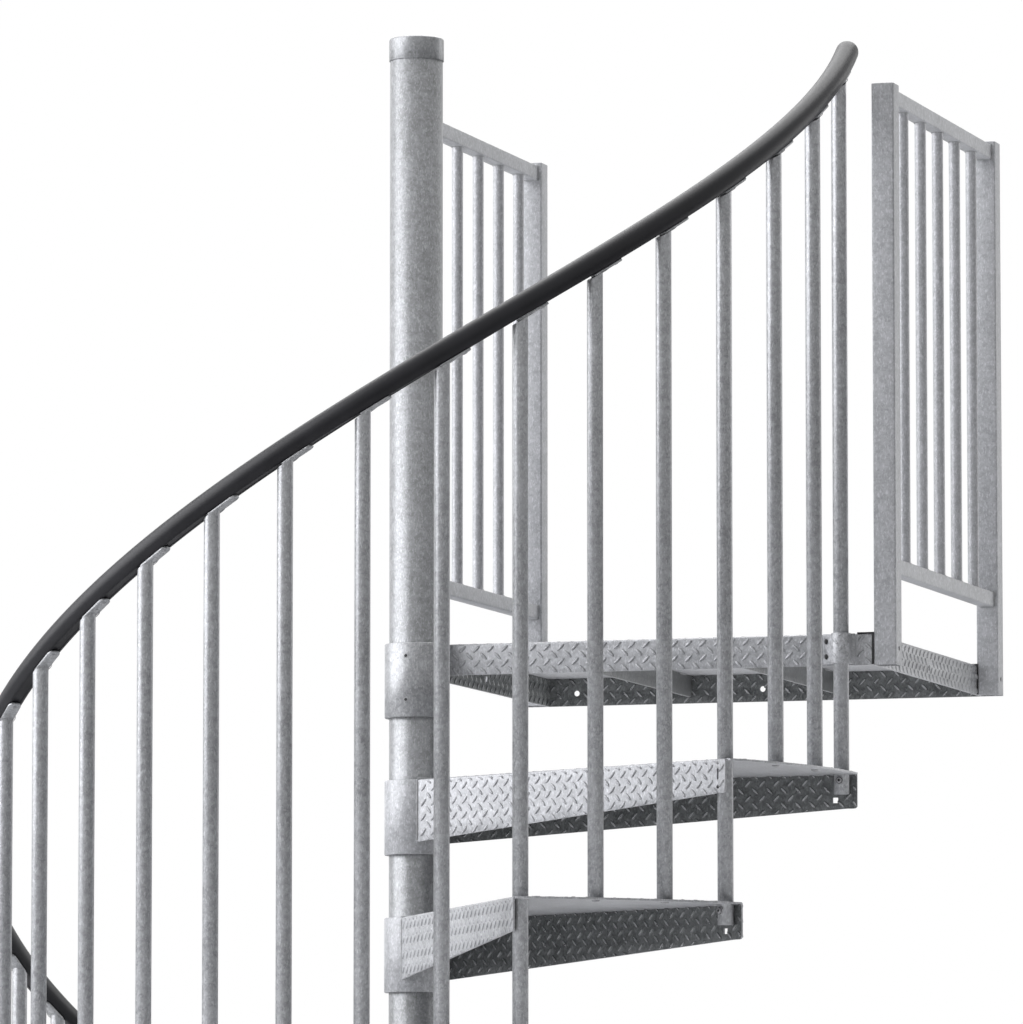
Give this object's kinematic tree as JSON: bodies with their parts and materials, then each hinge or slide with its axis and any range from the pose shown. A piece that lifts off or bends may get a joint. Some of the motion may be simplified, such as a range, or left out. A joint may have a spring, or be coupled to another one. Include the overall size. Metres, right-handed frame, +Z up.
{
  "type": "spiral staircase with landing",
  "caption": "Galvanised spiral stair on a centre pole, with diamond plate treads, round balusters, a clad handrail and a square guarded landing.",
  "frame": {"origin": "on the centre pole's axis, at the underside of the base plate", "axes": "+Z up, +X along the landing's front edge away from the pole, +Y the way off the landing; the stair climbs anticlockwise seen from above"},
  "size_m": [1.5861, 1.5199, 3.9948],
  "materials": {
    "pole_steel": "hot-dip galvanised, fine spangle",
    "tread_plate": "hot-dip galvanised diamond tread plate",
    "baluster_steel": "galvanised round tube",
    "guard_steel": "galvanised square tube",
    "bracket_steel": "galvanised saddle clamp",
    "vinyl": "satin charcoal vinyl cladding"
  },
  "bodies": {
    "root": {"base_plate": "pole_steel", "centre_pole": "pole_steel", "pole_cap": "pole_steel", "tread_01": "tread_plate", "tread_02": "tread_plate", "tread_03": "tread_plate", "tread_04": "tread_plate", "tread_05": "tread_plate", "tread_06": "tread_plate", "tread_07": "tread_plate", "tread_08": "tread_plate", "tread_09": "tread_plate", "tread_10": "tread_plate", "tread_11": "tread_plate", "tread_12": "tread_plate", "balusters_01": "baluster_steel", "balusters_02": "baluster_steel", "balusters_03": "baluster_steel", "balusters_04": "baluster_steel", "balusters_05": "baluster_steel", "balusters_06": "baluster_steel", "balusters_07": "baluster_steel", "balusters_08": "baluster_steel", "balusters_09": "baluster_steel", "balusters_10": "baluster_steel", "balusters_11": "baluster_steel", "balusters_12": "baluster_steel", "landing_baluster": "baluster_steel", "baluster_clamp": "bracket_steel", "handrail": "vinyl", "landing_hub": "tread_plate", "landing_deck": "tread_plate", "landing_rib_left": "tread_plate", "landing_rib_right": "tread_plate", "guard_left": "guard_steel", "guard_right": "guard_steel"}
  },
  "joints": []
}
